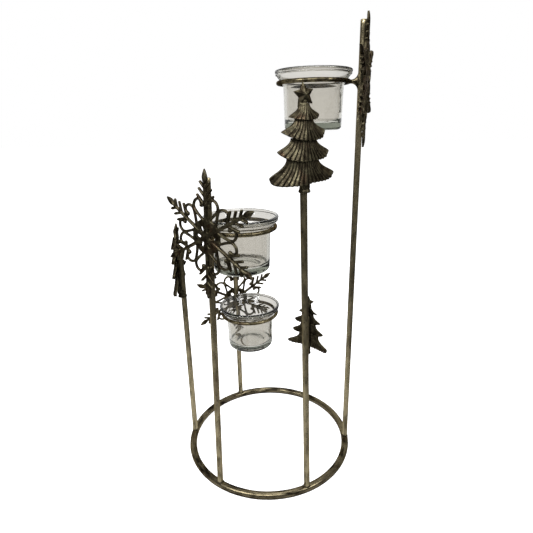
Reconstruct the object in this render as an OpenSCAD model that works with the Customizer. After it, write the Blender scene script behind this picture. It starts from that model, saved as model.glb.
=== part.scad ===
// Votive candle holder. Six rods stand on one wire ring and climb like a spiral
// stair. Cast trees and snowflakes alternate at their tops, and each snowflake's
// rod also carries a wire loop that holds a clear glass cup with a flared rim.

/* [Stand] */
// Radius of the base ring, to the middle of its wire
base_ring_r = 82; // [72:1:110]
// Diameter of the base ring's wire
base_wire_d = 7.2; // [5:0.2:9]
// Depth of the flat ground under the base ring, so that the stand doesn't rock
base_flat = 0.25; // [0.1:0.05:0.6]
// Diameter of the six upright rods
rod_d = 5.4; // [3.4:0.2:6.4]
// Chamfer round the top end of a rod
rod_chamfer = 0.4; // [0.1:0.1:1]
// Angle in degrees by which the two front rods lean toward each other
front_lean_angle = 1.1; // [0:0.1:2]
// Length of the weld fillet up a rod from the base ring
foot_weld_h = 2.6; // [1:0.2:5]
// How far the foot welds stand out round a rod
foot_weld_out = 1; // [0.4:0.1:1.6]

/* [Heights] */
// Height of the low cup's wire ring and of the snowflake beside it
low_cup_z = 133; // [110:1:150]
// Height of the middle cup's wire ring and of the snowflake beside it
middle_cup_z = 246; // [225:1:265]
// Height of the top cup's wire ring and of the snowflake beside it
top_cup_z = 359; // [340:1:380]
// Height of the star's tip on the low tree
low_tree_z = 138.5; // [110:0.5:150]
// Height of the star's tip on the middle tree
middle_tree_z = 240.5; // [225:0.5:265]
// Height of the star's tip on the top tree
top_tree_z = 354.5; // [330:0.5:370]

/* [Cup rings] */
// Diameter of the wire that the cup rings are bent from
cup_wire_d = 3.5; // [2.6:0.1:4.5]
// Height of a cup's rim above the wire ring that carries it
seat_drop = 9.8; // [8:0.1:10.5]
// Gap between a cup's rim and the rod beside it
cup_to_rod = 4.2; // [3:0.1:8]
// Radius of the fillets where a ring's stem meets the rod
stem_fillet = 5.5; // [2:0.5:7]
// Clearance between a cup's cone and the wire that it rests on
seat_gap = 0.3; // [0.2:0.05:0.6]

/* [Glass cups] */
// Diameter over the rolled rim
cup_rim_d = 64; // [60:0.5:68]
// Height of the cup
cup_h = 47; // [40:0.5:60]
// Diameter just below the flared rim
cup_neck_d = 49.8; // [46:0.2:52]
// Diameter at the foot, above its rounded corner
cup_foot_d = 47.8; // [40:0.2:49]
// Thickness of the glass wall
cup_wall = 2.3; // [1.6:0.1:3.5]
// Thickness of the glass floor
cup_floor = 5.5; // [4:0.5:9]
// Height of the hollow under the floor
cup_punt = 1.4; // [0.6:0.2:2.4]

/* [Snowflakes] */
// Reach of a snowflake's arms from its centre
flake_r = 51.5; // [42:0.5:58]
// Thickness of the cast plate
flake_plate = 1.5; // [1.2:0.1:2.4]
// Height of the raised crown on the plate
flake_crown = 0.7; // [0.4:0.1:1.4]
// Width of the petals and barbs
flake_wire = 2; // [1.6:0.1:2.4]
// Distance from a snowflake's tip down to the end of its rod
flake_rod_drop = 6.5; // [3:0.5:20]

/* [Trees] */
// Height of a tree, from its star's tip to the foot of its trunk
tree_h = 74.5; // [60:0.5:80]
// Width over the lowest branches
tree_w = 52.6; // [40:0.2:60]
// How far the fluted branches stand out in front of the rod
tree_relief = 4.8; // [3.6:0.2:8]
// Reach of the star's points from its centre
star_r = 7.8; // [5:0.2:10]
// Thickness of the star at its middle
star_t = 4; // [2:0.2:5]
// Distance from a star's tip down to the end of the rod behind it
tree_rod_drop = 25.5; // [16:0.5:32]

/* [Hidden] */

// Fine curves, which the exact rebuild turns into true circles
$fn = 64;
// Gap left for the weld between an ornament's flat back and its rod
weld_gap = 0.05;
// Clear space that cutting tools take beyond the piece they cut
cut_margin = 20;

rod_r = rod_d / 2;
base_wire_r = base_wire_d / 2;
base_wire_z = base_wire_r - base_flat;
cup_wire_r = cup_wire_d / 2;
rim_r = cup_rim_d / 2;
neck_r = cup_neck_d / 2;
foot_r = cup_foot_d / 2;

// The six columns, from the low tree round to the top cup
LOW_TREE = 0;
LOW_CUP = 1;
MIDDLE_TREE = 2;
MIDDLE_CUP = 3;
TOP_TREE = 4;
TOP_CUP = 5;
COLUMNS = [LOW_TREE, LOW_CUP, MIDDLE_TREE, MIDDLE_CUP, TOP_TREE, TOP_CUP];
// Height that names each column: a tree's tip, or a cup's ring and snowflake
column_z = [low_tree_z, low_cup_z, middle_tree_z, middle_cup_z, top_tree_z, top_cup_z];
column_step = 360 / len(COLUMNS);

function column_angle(k) = column_step * (k + 1);
function column_lean(k) = k == MIDDLE_CUP ? front_lean_angle : k == TOP_TREE ? -front_lean_angle : 0;
function outward(k) = [cos(column_angle(k)), sin(column_angle(k)), 0];
function rod_point(k, z) = base_ring_r * outward(k) + [z * tan(column_lean(k)), 0, z];
function has_cup(k) = k % 2 == 1;
function rod_length(k) =
    has_cup(k) ? column_z[k] + flake_r - flake_rod_drop : column_z[k] - tree_rod_drop;

// Places a piece on a column: Z runs up the rod, and X points out of the stand
module on_column(k) {
    translate(base_ring_r * outward(k))
        rotate([0, column_lean(k), 0])
            rotate([0, 0, column_angle(k)])
                children();
}

module torus(ring_r, wire_r) {
    rotate_extrude()
        translate([ring_r, 0])
            circle(r = wire_r);
}

module base_torus() {
    translate([0, 0, base_wire_z])
        torus(base_ring_r, base_wire_r);
}

module rod_solid(length, r) {
    cylinder(h = length - rod_chamfer, r = r);
    translate([0, 0, length - rod_chamfer])
        cylinder(h = rod_chamfer, r1 = r, r2 = r - rod_chamfer);
}

// Stand

module base_ring() {
    color("#6b5f45")
        difference() {
            base_torus();
            translate([0, 0, -base_wire_d])
                cylinder(h = base_wire_d, r = base_ring_r + base_wire_d);
        }
}

// A rod, coped to sit on the base ring's round wire
module rod(k) {
    color("#5c5038")
        difference() {
            on_column(k)
                translate([0, 0, base_wire_z])
                    rod_solid(rod_length(k) - base_wire_z, rod_r);
            base_torus();
        }
}

// The fillet of weld metal round the foot of every rod
module foot_welds() {
    weld_z = base_wire_z + base_wire_r * 0.4;
    weld_top = base_wire_z + base_wire_r + foot_weld_h;
    root_r = rod_r + foot_weld_out;
    lip_r = rod_r + foot_weld_out / 4;
    color("#2b241a")
        for (k = COLUMNS)
            difference() {
                on_column(k)
                    translate([0, 0, weld_z])
                        cylinder(h = weld_top - weld_z, r1 = root_r, r2 = lip_r);
                on_column(k)
                    cylinder(h = weld_top + cut_margin, r = rod_r);
                base_torus();
            }
}

// Cup rings

// The cup's flare is a cone between the neck and the bead under the rim
bead_r = 1.5;
neck_drop = 12;
cone_top_drop = 4.6;
cone_top_r = rim_r - bead_r;
cone_slope = (cone_top_r - neck_r) / (neck_drop - cone_top_drop);
cone_angle = atan(cone_slope);
seat_cone_r = neck_r + cone_slope * (neck_drop - seat_drop);
ring_r = seat_cone_r + (cup_wire_r + seat_gap) / cos(cone_angle);
ring_reach = rim_r + cup_to_rod + rod_r;
stem_r = cup_wire_r * 0.86;

function ring_centre(k) = rod_point(k, column_z[k]) - ring_reach * outward(k);

// The web that blends a stem into its rod, above and below
module stem_web() {
    web_t = stem_r * 1.7;
    web_h = 2 * (stem_r + stem_fillet) - 1;
    web_start = ring_reach - rod_r - stem_fillet;
    rotate([90, 0, 0])
        linear_extrude(height = web_t, center = true)
            difference() {
                translate([web_start, -web_h / 2])
                    square([stem_fillet + rod_r, web_h]);
                for (side = [-1, 1])
                    translate([web_start, side * (stem_r + stem_fillet - 0.3)])
                        circle(r = stem_fillet);
            }
}

// A wire ring with its short stem, welded to the inner side of its rod
module cup_ring(k) {
    color("#6b5f45")
        difference() {
            translate(ring_centre(k))
                rotate([0, 0, column_angle(k)]) {
                    torus(ring_r, cup_wire_r);
                    translate([ring_r, 0, 0])
                        rotate([0, 90, 0])
                            cylinder(h = ring_reach - ring_r, r = stem_r);
                    stem_web();
                }
            on_column(k)
                cylinder(h = rod_length(k) + cut_margin, r = rod_r);
        }
}

// Glass cups

function arc(centre, r, from, to, steps) = [
    for (i = [0 : steps])
        let (angle = from + (to - from) * i / steps)
        centre + r * [cos(angle), sin(angle)]
];

// Half the cup's section, from the middle of the foot out, up, over the rim and back in
function cup_section() =
    let (
        corner_r = 3.2,
        foot_land = 3,
        inner_corner_r = 4,
        foot_in = foot_r - corner_r - foot_land,
        neck_z = cup_h - neck_drop,
        cone_top_z = cup_h - cone_top_drop,
        taper = (neck_r - foot_r) / (neck_z - corner_r),
        inner_foot_r = foot_r + taper * cup_floor - cup_wall
    )
    concat(
        [[0, cup_punt], [foot_in - 2 * cup_punt, cup_punt], [foot_in, 0]],
        arc([foot_r - corner_r, corner_r], corner_r, -90, 0, 5),
        [[neck_r, neck_z], [cone_top_r, cone_top_z]],
        arc([rim_r - bead_r, cup_h - 3.5], bead_r * 0.72, -60, 60, 4),
        arc([rim_r - bead_r, cup_h - bead_r], bead_r, -40, 110, 7),
        [[cone_top_r - cup_wall, cone_top_z + 1.2]],
        [[neck_r - cup_wall, neck_z + 0.6]],
        arc([inner_foot_r - inner_corner_r, cup_floor + inner_corner_r], inner_corner_r, 0, -90, 4),
        [[0, cup_floor]]
    );

module glass_cup(k) {
    color("#c9d2cc", 0.45)
        translate(ring_centre(k) - [0, 0, cup_h - seat_drop])
            rotate_extrude()
                polygon(cup_section());
}

// Snowflakes

// A snowflake's pattern is drawn for an arm of length 1, with the arm along +Y
stem_share = [0.031, 0.024];
spear_base = 0.786;
barb_root = [0.454, 0.59, 0.716];
barb_length = [0.227, 0.173, 0.136];
barb_angle = 44;
hub_share = 0.268;
hub_hole_share = 0.135;
hub_hole = [0.056, 0.1];
ball_share = 0.029;
// A petal leaves the hub, swings out until it meets its neighbour, and curls back to the first barb
petal = [
    [0.034, 0.24], [0.132, 0.315], [0.23, 0.423], [0.214, 0.516],
    [0.144, 0.563], [0.097, 0.536], [0.072, 0.474]
];
// Each snowflake as it was welded: turned about its rod, spun on its centre, and raised by a share
flake_pose = [[-5, -1, -0.008], [0, -1, 0.016], [-13.5, 4, -0.023]];

function flake_turn(k) = flake_pose[(k - LOW_CUP) / 2][0];
function flake_spin(k) = flake_pose[(k - LOW_CUP) / 2][1];
function flake_rise(k) = flake_pose[(k - LOW_CUP) / 2][2] * flake_r;

// A smooth curve through points p, at the share t of the way from point i to the next
function curve(p, i, t) =
    let (
        last = len(p) - 1,
        before = p[max(i - 1, 0)],
        a = p[i],
        b = p[i + 1],
        after = p[min(i + 2, last)]
    )
    (2 * a + (b - before) * t + (2 * before - 5 * a + 4 * b - after) * t * t
        + (3 * a - before - 3 * b + after) * t * t * t) / 2;
petal_steps = 3;
petal_path = flake_r * concat(
    [for (i = [0 : len(petal) - 2]) for (step = [0 : petal_steps - 1]) curve(petal, i, step / petal_steps)],
    [petal[len(petal) - 1]]
);

// Point i of a path, moved sideways by d
function beside(path, i, d) =
    let (
        last = len(path) - 1,
        along = path[min(i + 1, last)] - path[max(i - 1, 0)],
        unit = along / norm(along)
    )
    path[i] + d * [-unit.y, unit.x];

module stroke(path, w) {
    last = len(path) - 1;
    polygon([
        for (i = [0 : last]) beside(path, i, w / 2),
        for (i = [last : -1 : 0]) beside(path, i, -w / 2)
    ]);
    for (end = [path[0], path[last]])
        translate(end)
            circle(d = w, $fn = 10);
}

// The leaf-shaped point of an arm, drawn smaller about its middle for its crown
spear_side = [[0.031, 0.955], [0.052, 0.9], [0.052, 0.86], [0.034, 0.81], [0.02, spear_base]];
module spearhead(inset) {
    middle = [0, (1 + spear_base) / 2];
    last = len(spear_side) - 1;
    translate(flake_r * middle)
        scale(1 - inset)
            polygon(flake_r * concat(
                [[0, 1] - middle],
                [for (point = spear_side) point - middle],
                [for (i = [last : -1 : 0]) [-spear_side[i].x, spear_side[i].y] - middle]
            ));
}

module stem(inset) {
    base = stem_share[0] - inset;
    end = stem_share[1] - inset;
    reach = spear_base + 0.03;
    polygon(flake_r * [[-base, 0], [base, 0], [end, reach], [-end, reach]]);
}

module snowflake_arm() {
    stem(0);
    spearhead(0);
    for (side = [0, 1])
        mirror([side, 0]) {
            for (i = [0 : len(barb_root) - 1]) {
                root = flake_r * [0, barb_root[i]];
                tip = root + flake_r * barb_length[i] * [sin(barb_angle), cos(barb_angle)];
                stroke([root, tip], flake_wire);
            }
            stroke(petal_path, flake_wire);
            translate(petal_path[len(petal_path) - 1])
                circle(r = ball_share * flake_r, $fn = 12);
        }
}

module snowflake_outline() {
    for (arm = [0 : 5])
        rotate(60 * arm)
            snowflake_arm();
    difference() {
        circle(r = hub_share * flake_r);
        for (arm = [0 : 5])
            rotate(60 * arm + 30)
                translate([0, hub_hole_share * flake_r])
                    scale(hub_hole * flake_r)
                        circle(d = 1, $fn = 14);
    }
}

// The raised middle of each arm and of the hub
module snowflake_crown() {
    stem_inset = 0.011;
    spear_inset = 0.35;
    for (arm = [0 : 5])
        rotate(60 * arm) {
            stem(stem_inset);
            spearhead(spear_inset);
        }
    circle(r = (hub_hole_share - hub_hole.y / 2) * flake_r - flake_wire / 4);
}

// A cast snowflake: a flat plate with a crown raised along its arms
module snowflake(k) {
    crown_base = flake_plate / 2;
    color("#3a3122")
        on_column(k)
            rotate([0, 0, flake_turn(k)])
                translate([rod_r + weld_gap, 0, column_z[k] + flake_rise(k)])
                    rotate([90, 0, 90])
                        rotate(flake_spin(k)) {
                            linear_extrude(height = flake_plate)
                                offset(delta = 0.02)
                                    snowflake_outline();
                            translate([0, 0, crown_base])
                                linear_extrude(height = flake_plate + flake_crown - crown_base)
                                    snowflake_crown();
                        }
}

// Trees

// Each tier of branches, from the star down, as shares of the tree's height and width
tier_top_share = [0.186, 0.327, 0.5, 0.68];
tier_tip_share = [0.288, 0.427, 0.608, 0.847];
tier_hem_share = [0.327, 0.509, 0.7, 0.9];
tier_top_span = [0.15, 0.28, 0.4, 0.51];
tier_tip_span = [0.455, 0.655, 0.78, 1];
tier_ribs = [7, 9, 11, 13];
// How late each tier's hem sweeps up to its tips
hem_curve = [2.2, 2.2, 2.4, 4];
// How far each tier's tips stand in front of the rod's axis, as shares of the tree's height
tip_forward = [0.038, 0.026, 0.026, 0.012];
rib_flatness = 0.8;
rib_crowding = 0.2;
rib_overlap = 1.3;
// A tier starts nearer the rod than the hem above it, with ribs that are thicker than their spacing
tier_top_relief = 0.62;
rib_top_extra = 0.008;
// Radii of the collar's top and foot and its height, as shares of the tree's height
trunk_taper = [0.038, 0.056];
trunk_share = 0.1;
// Radii of the spine at its foot and top, as shares of the relief
spine_share = [0.6, 0.4];
star_tilt = 7;
star_notch = 0.45;
star_rim = 0.4;

// Where rib j of a tier stands across it, from -1 to 1: the outer ribs crowd toward the tips
function rib_across(tier, j) =
    let (even = 2 * j / (tier_ribs[tier] - 1) - 1)
    even * (1 + rib_crowding - rib_crowding * even * even);
// Half the spacing of a tier's ribs, for a tier that is w wide
function rib_half_step(tier, w) = w / 2 / (tier_ribs[tier] - 1);
function hem_w(tier) = tier_tip_span[tier] * tree_w;
function top_w(tier) = tier_top_span[tier] * tree_w;
// A rib's radius at its hem, wide enough to run into the ribs beside it
function rib_hem_r(tier, s) =
    rib_overlap * rib_half_step(tier, hem_w(tier)) * (1 + rib_crowding * (1 - 3 * s * s));
function rib_top_r(tier) = rib_overlap * rib_half_step(tier, top_w(tier)) + rib_top_extra * tree_h;
// The casting's front bends back round the rod, from full relief in the middle to the tips
function rib_forward(tier, s, relief, r) =
    let (middle = rod_r + relief - rib_flatness * r)
    middle + (tip_forward[tier] * tree_h - middle) * s * s;

// How far down the tree a tier's hem is: it sweeps up from the middle to the tips
function hem_drop(tier, s) =
    let (sweep = pow(abs(s), hem_curve[tier]))
    tier_hem_share[tier] + (tier_tip_share[tier] - tier_hem_share[tier]) * sweep;

// A point on a tier at the share s across it, at its top or at its hem
function rib_top(tier, s) = [
    rib_forward(tier, s, tier_top_relief * tree_relief, rib_top_r(tier)),
    s * (top_w(tier) - rib_top_r(tier)) / 2,
    -tier_top_share[tier] * tree_h
];
function rib_hem(tier, s) = [
    rib_forward(tier, s, tree_relief, rib_hem_r(tier, s)),
    s * (hem_w(tier) / 2 - rib_hem_r(tier, 1)),
    rib_hem_r(tier, s) - hem_drop(tier, s) * tree_h
];

// One tier: tapered ribs that fan out from its top to its scalloped hem
module tier(i) {
    for (j = [0 : tier_ribs[i] - 1])
        hull() {
            s = rib_across(i, j);
            translate(rib_top(i, s))
                scale([rib_flatness, 1, 1])
                    sphere(r = rib_top_r(i), $fn = 6);
            translate(rib_hem(i, s))
                scale([rib_flatness, 1, 1])
                    sphere(r = rib_hem_r(i, s), $fn = 7);
        }
}

// The bevelled five-pointed star, with its ridges rising to the middle
module star() {
    inner_r = star_r * star_notch;
    outline = [for (i = [0 : 9]) (i % 2 == 0 ? star_r : inner_r) * [cos(90 + 36 * i), sin(90 + 36 * i)]];
    star_back = rod_r / 2;
    translate([star_back, 0, -star_r])
        rotate([90, 0, 90])
            rotate(star_tilt) {
                linear_extrude(height = star_t * star_rim)
                    polygon(outline);
                translate([0, 0, star_t * star_rim])
                    linear_extrude(height = star_t * (1 - star_rim), scale = 0.06)
                        polygon(outline);
            }
}

// The trunk with its collar, and the spine that carries every tier up to the star
module trunk_and_spine() {
    collar_h = trunk_share * tree_h;
    spine_foot = -tree_h + collar_h / 2;
    spine_top = -1.4 * star_r;
    translate([rod_r / 2, 0, -tree_h])
        cylinder(h = collar_h, r1 = trunk_taper[1] * tree_h, r2 = trunk_taper[0] * tree_h, $fn = 20);
    translate([rod_r, 0, spine_foot])
        cylinder(
            h = spine_top - spine_foot,
            r1 = spine_share[0] * tree_relief,
            r2 = spine_share[1] * tree_relief,
            $fn = 14
        );
}

// A cast tree: four fluted tiers, hollow behind, on a spine with a groove for the rod
module tree(k) {
    rod_top = -tree_rod_drop;
    color("#3a3122")
        on_column(k)
            translate([0, 0, column_z[k]])
                union() {
                    difference() {
                        union() {
                            for (i = [0 : 3])
                                tier(i);
                            trunk_and_spine();
                        }
                        translate([-cut_margin, -tree_w, -tree_h - cut_margin])
                            cube([cut_margin, 2 * tree_w, tree_h + 2 * cut_margin]);
                        translate([0, 0, -tree_h - cut_margin])
                            cylinder(h = tree_h + cut_margin + rod_top + weld_gap, r = rod_r + weld_gap);
                    }
                    star();
                }
}

base_ring();
foot_welds();
rod(LOW_TREE);  // rod_low_tree
rod(LOW_CUP);  // rod_low_cup
rod(MIDDLE_TREE);  // rod_middle_tree
rod(MIDDLE_CUP);  // rod_middle_cup
rod(TOP_TREE);  // rod_top_tree
rod(TOP_CUP);  // rod_top_cup
cup_ring(LOW_CUP);  // cup_ring_low
cup_ring(MIDDLE_CUP);  // cup_ring_middle
cup_ring(TOP_CUP);  // cup_ring_top
snowflake(LOW_CUP);  // snowflake_low
snowflake(MIDDLE_CUP);  // snowflake_middle
snowflake(TOP_CUP);  // snowflake_top
tree(LOW_TREE);  // tree_low
tree(MIDDLE_TREE);  // tree_middle
tree(TOP_TREE);  // tree_top
glass_cup(LOW_CUP);  // glass_cup_low
glass_cup(MIDDLE_CUP);  // glass_cup_middle
glass_cup(TOP_CUP);  // glass_cup_top
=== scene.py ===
"""Looks of the votive candle holder: wire stand, cast trees and snowflakes, clear glass cups.

Metres throughout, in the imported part's frame: Z is up, and the base ring's centre is the origin.
"""
import math
import random

import bmesh
import bpy
import numpy as np
from mathutils import Matrix, Vector, noise


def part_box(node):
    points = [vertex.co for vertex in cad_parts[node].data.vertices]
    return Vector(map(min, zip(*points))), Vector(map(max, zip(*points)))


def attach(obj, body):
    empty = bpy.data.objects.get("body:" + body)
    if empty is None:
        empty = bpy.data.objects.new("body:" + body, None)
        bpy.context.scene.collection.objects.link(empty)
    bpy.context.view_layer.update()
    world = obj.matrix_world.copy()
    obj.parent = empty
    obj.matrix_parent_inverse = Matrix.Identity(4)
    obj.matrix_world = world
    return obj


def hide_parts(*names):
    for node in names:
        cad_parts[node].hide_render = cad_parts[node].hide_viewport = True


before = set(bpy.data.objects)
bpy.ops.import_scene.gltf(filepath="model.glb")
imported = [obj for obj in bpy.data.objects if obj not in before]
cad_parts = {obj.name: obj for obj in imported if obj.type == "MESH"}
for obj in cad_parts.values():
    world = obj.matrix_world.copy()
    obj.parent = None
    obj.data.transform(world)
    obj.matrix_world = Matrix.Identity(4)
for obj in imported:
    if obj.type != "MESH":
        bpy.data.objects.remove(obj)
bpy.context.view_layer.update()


MM = 0.001
random.seed(7)

# Camera, as found from the base ring, the rods and the cups' rims
CAMERA_PLACE = Vector((0.0350, -0.3882, 0.3302))
CAMERA_HEADING = -5.0      # degrees from +Y, positive towards +X
CAMERA_PITCH = 18.73       # degrees down
CAMERA_ROLL = -1.18        # degrees
CAMERA_FOCAL_PX = 430.9    # for an image 533 pixels wide
IMAGE_WIDTH_PX = 533
SENSOR_WIDTH_MM = 36.0

# Sizes that the part's construction gives
BASE_WIRE_R = 3.6 * MM
BASE_FLAT = 0.25 * MM
ROD_R = 2.7 * MM
ROD_CHAMFER = 0.4 * MM
CUP_WIRE_R = 1.75 * MM
WELD_GAP = 0.05 * MM
STEM_FILLET = 5.5 * MM
FLAKE_R = 51.5 * MM
TREE_H = 74.5 * MM
SEAT_DROP = 9.8 * MM

# Where each rod stands round the base ring, in degrees from +X, by what it carries
COLUMNS = {
    "low_tree": 60, "low_cup": 120, "middle_tree": 180,
    "middle_cup": 240, "top_tree": 300, "top_cup": 360,
}
LEVELS = ("low", "middle", "top")


# Frame measures

def node_points(node):
    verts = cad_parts[node].data.vertices
    co = np.empty(len(verts) * 3, np.float32)
    verts.foreach_get("co", co)
    return co.reshape(-1, 3).astype(float)


ring_low, ring_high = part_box("base_ring")
BASE_RING_R = (ring_high.x - ring_low.x) / 2 - BASE_WIRE_R
BASE_WIRE_Z = BASE_WIRE_R - BASE_FLAT


def rod_ends(column):
    """The rod's axis: its foot at floor level and its top centre."""
    angle = math.radians(COLUMNS[column])
    foot = Vector((BASE_RING_R * math.cos(angle), BASE_RING_R * math.sin(angle), 0))
    points = node_points("rod_" + column)
    height = points[:, 2].max()
    top = points[points[:, 2] > height - ROD_CHAMFER / 2]
    centre = (top.min(0) + top.max(0)) / 2
    return foot, Vector((centre[0], centre[1], height))


def column_matrix(column):
    """Local frame of a column: Z up the rod, X out of the stand."""
    foot, top = rod_ends(column)
    up = (top - foot).normalized()
    lean = Vector((0, 0, 1)).rotation_difference(up).to_matrix().to_4x4()
    turn = Matrix.Rotation(math.radians(COLUMNS[column]), 4, "Z")
    return Matrix.Translation(foot) @ lean @ turn


# Mesh helpers

def between(a, b, share):
    """The value at a share of the way from a to b."""
    return a + (b - a) * share


def circle_points(sides):
    """The cosine and sine of equal steps round a circle."""
    return [(math.cos(2 * math.pi * j / sides), math.sin(2 * math.pi * j / sides)) for j in range(sides)]


def new_object(name, verts, faces):
    mesh = bpy.data.meshes.new(name)
    mesh.from_pydata([tuple(v) for v in verts], [], faces)
    mesh.validate()
    mesh.update()
    obj = bpy.data.objects.new(name, mesh)
    bpy.context.scene.collection.objects.link(obj)
    return obj


def shade_smooth(mesh):
    mesh.polygons.foreach_set("use_smooth", [True] * len(mesh.polygons))
    mesh.update()


def ring_tube(rings, closed=False):
    """Vertices and faces of a tube through equal rings of points."""
    n = len(rings[0])
    verts = [p for ring in rings for p in ring]
    faces = []
    count = len(rings)
    for i in range(count if closed else count - 1):
        a, b = i * n, ((i + 1) % count) * n
        for j in range(n):
            k = (j + 1) % n
            faces.append((a + j, a + k, b + k, b + j))
    if not closed:
        faces.append(tuple(range(n - 1, -1, -1)))
        faces.append(tuple(range((count - 1) * n, count * n)))
    return verts, faces


def gathered(parts):
    """The vertices and faces of several shapes as one list of each."""
    verts, faces = [], []
    for part_verts, part_faces in parts:
        start = len(verts)
        verts += list(part_verts)
        faces += [tuple(start + i for i in face) for face in part_faces]
    return verts, faces


# Voxels that fuse welded wires and beads, and the finer ones of the castings' skins
WELD_VOXEL = 0.3 * MM
CAST_VOXEL = 0.28 * MM


def fuse(name, parts, voxel, smooth_steps):
    """Joins loose closed shapes into one skin, as casting or welding does."""
    source = new_object(name + "_source", *gathered(parts))
    remesh = source.modifiers.new("skin", "REMESH")
    remesh.mode = "VOXEL"
    remesh.voxel_size = voxel
    smooth = source.modifiers.new("soften", "SMOOTH")
    smooth.factor = 0.5
    smooth.iterations = smooth_steps
    bpy.context.view_layer.update()
    evaluated = source.evaluated_get(bpy.context.evaluated_depsgraph_get())
    mesh = bpy.data.meshes.new_from_object(evaluated)
    mesh.name = name
    bpy.data.objects.remove(source)
    shade_smooth(mesh)
    return mesh


def place(name, mesh, matrix, node, body, material):
    """A copy of a mesh, baked into its place, that stands for a CAD node."""
    data = mesh.copy()
    data.name = name
    data.transform(matrix)
    obj = bpy.data.objects.new(name, data)
    bpy.context.scene.collection.objects.link(obj)
    data.materials.clear()
    data.materials.append(material)
    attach(obj, body)
    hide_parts(node)


# Materials

# How far the patina's pattern is drawn out along a wire
DRAWN_OUT = 0.3
# Picks the stretch of the pattern that the base ring gets
RING_PATTERN_SHIFT = 0.4
# The patina's patterns, as noise scales
BLOTCH_SCALE, GRAIN_SCALE, COPPER_SCALE, POLISH_SCALE = 230, 700, 75, 26
# Heights in metres: going up a rod it gets darker, and going down it gets lighter in patches, wear together
# with painted light off the floor
DARKER_UP = (0.12, 0.34)
LIGHTER_DOWN = (0.2, 0.0)
# Ranges of pointiness in which hollows darken, with patina and with painted shade, and edges are rubbed
# bright
HOLLOW_PATINA_AND_SHADE = (0.455, 0.5)
WIRE_RUB = (0.51, 0.56)
CAST_RUB = (0.51, 0.58)
WELD_RUB = (0.52, 0.6)
# Least and most roughness, and the strength of the surface's relief
WIRE_SKIN = (0.24, 0.4, 0.25)
BASE_RING_SKIN = (0.17, 0.31, 0.18)
CAST_SKIN = (0.32, 0.5, 0.35)
WELD_SKIN = (0.3, 0.5, 0.45)
# How strongly some stretches of the wires are polished bright: rubbed brass, and a painted highlight too
WIRE_POLISH_AND_SHEEN, BASE_RING_POLISH_AND_SHEEN = 0.5, 0.25

# Colours of the patina, of the metal under it, of rubbed metal and of copper stains
DARK = (0.012, 0.009, 0.006)
COPPER = (0.06, 0.03, 0.018)
WIRE_COLOURS = (DARK, (0.07, 0.058, 0.033), (0.25, 0.21, 0.125), COPPER)
ROD_COLOURS = (DARK, (0.1, 0.084, 0.052), (0.42, 0.36, 0.22), COPPER)
CAST_COLOURS = ((0.018, 0.014, 0.009), (0.045, 0.038, 0.024), (0.11, 0.098, 0.06), COPPER)
# A lighter copy of the casting's colours: painted light on the low snowflake's back, which the camera sees
PAINTED_LIT_CAST_COLOURS = ((0.025, 0.02, 0.012), (0.085, 0.071, 0.043), (0.2, 0.175, 0.11), COPPER)
WELD_COLOURS = ((0.01, 0.008, 0.006), (0.03, 0.024, 0.018), (0.11, 0.095, 0.05), COPPER)
# Colours of the lighter patches low on the rods and the base ring: wear, and painted light off the floor
ROD_FLOOR_LIGHT_AND_WEAR = (0.42, 0.36, 0.235)
RING_FLOOR_LIGHT_AND_WEAR = (0.25, 0.212, 0.132)
METAL_SHEEN = (0.35, 0.3, 0.22, 1)

GLASS_TINT = (0.79, 0.765, 0.725, 1)
GLASS_DEPTH_TINT = (0.52, 0.56, 0.5, 1)
GLASS_DENSITY = 60
RIPPLE_SCALE = 60


def ramp(tree, fac, stops):
    node = tree.nodes.new("ShaderNodeValToRGB")
    elements = node.color_ramp.elements
    while len(elements) < len(stops):
        elements.new(0.5)
    for element, (position, colour) in zip(elements, stops):
        element.position = position
        element.color = (*colour, 1)
    tree.links.new(fac, node.inputs["Fac"])
    return node.outputs["Color"]


def noise_texture(tree, coordinates, scale, detail, roughness=0.55):
    node = tree.nodes.new("ShaderNodeTexNoise")
    node.inputs["Scale"].default_value = scale
    node.inputs["Detail"].default_value = detail
    node.inputs["Roughness"].default_value = roughness
    tree.links.new(coordinates, node.inputs["Vector"])
    return node.outputs["Fac"]


def mixed(tree, fac, a, b):
    node = tree.nodes.new("ShaderNodeMix")
    node.data_type = "RGBA"
    tree.links.new(fac, node.inputs["Factor"])
    for value, socket in ((a, node.inputs["A"]), (b, node.inputs["B"])):
        if isinstance(value, tuple):
            socket.default_value = (*value, 1)
        else:
            tree.links.new(value, socket)
    return node.outputs["Result"]


def calculated(tree, operation, a, b, clamp=False):
    node = tree.nodes.new("ShaderNodeMath")
    node.operation = operation
    node.use_clamp = clamp
    for value, socket in ((a, node.inputs[0]), (b, node.inputs[1])):
        if isinstance(value, (int, float)):
            socket.default_value = value
        else:
            tree.links.new(value, socket)
    return node.outputs[0]


def stepped(tree, value, low, high, first=0, second=1):
    """Goes from the first to the second number as the value goes from low to high, and no further."""
    node = tree.nodes.new("ShaderNodeMapRange")
    node.clamp = True
    node.inputs["From Min"].default_value = low
    node.inputs["From Max"].default_value = high
    node.inputs["To Min"].default_value = first
    node.inputs["To Max"].default_value = second
    tree.links.new(value, node.inputs["Value"])
    return node.outputs["Result"]


def vector_result(tree, operation, a, b=None):
    node = tree.nodes.new("ShaderNodeVectorMath")
    node.operation = operation
    for value, socket in ((a, node.inputs[0]), (b, node.inputs[1])):
        if isinstance(value, tuple):
            socket.default_value = value
        elif value is not None:
            tree.links.new(value, socket)
    return node


def part_of_vector(tree, vector, axis):
    separate = tree.nodes.new("ShaderNodeSeparateXYZ")
    tree.links.new(vector, separate.inputs[0])
    return separate.outputs[axis]


def plain_coordinates(tree):
    return tree.nodes.new("ShaderNodeTexCoord").outputs["Object"]


def along_rods(tree):
    """Coordinates that draw a pattern out along the rods."""
    return vector_result(tree, "MULTIPLY", plain_coordinates(tree), (1, 1, DRAWN_OUT)).outputs["Vector"]


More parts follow.
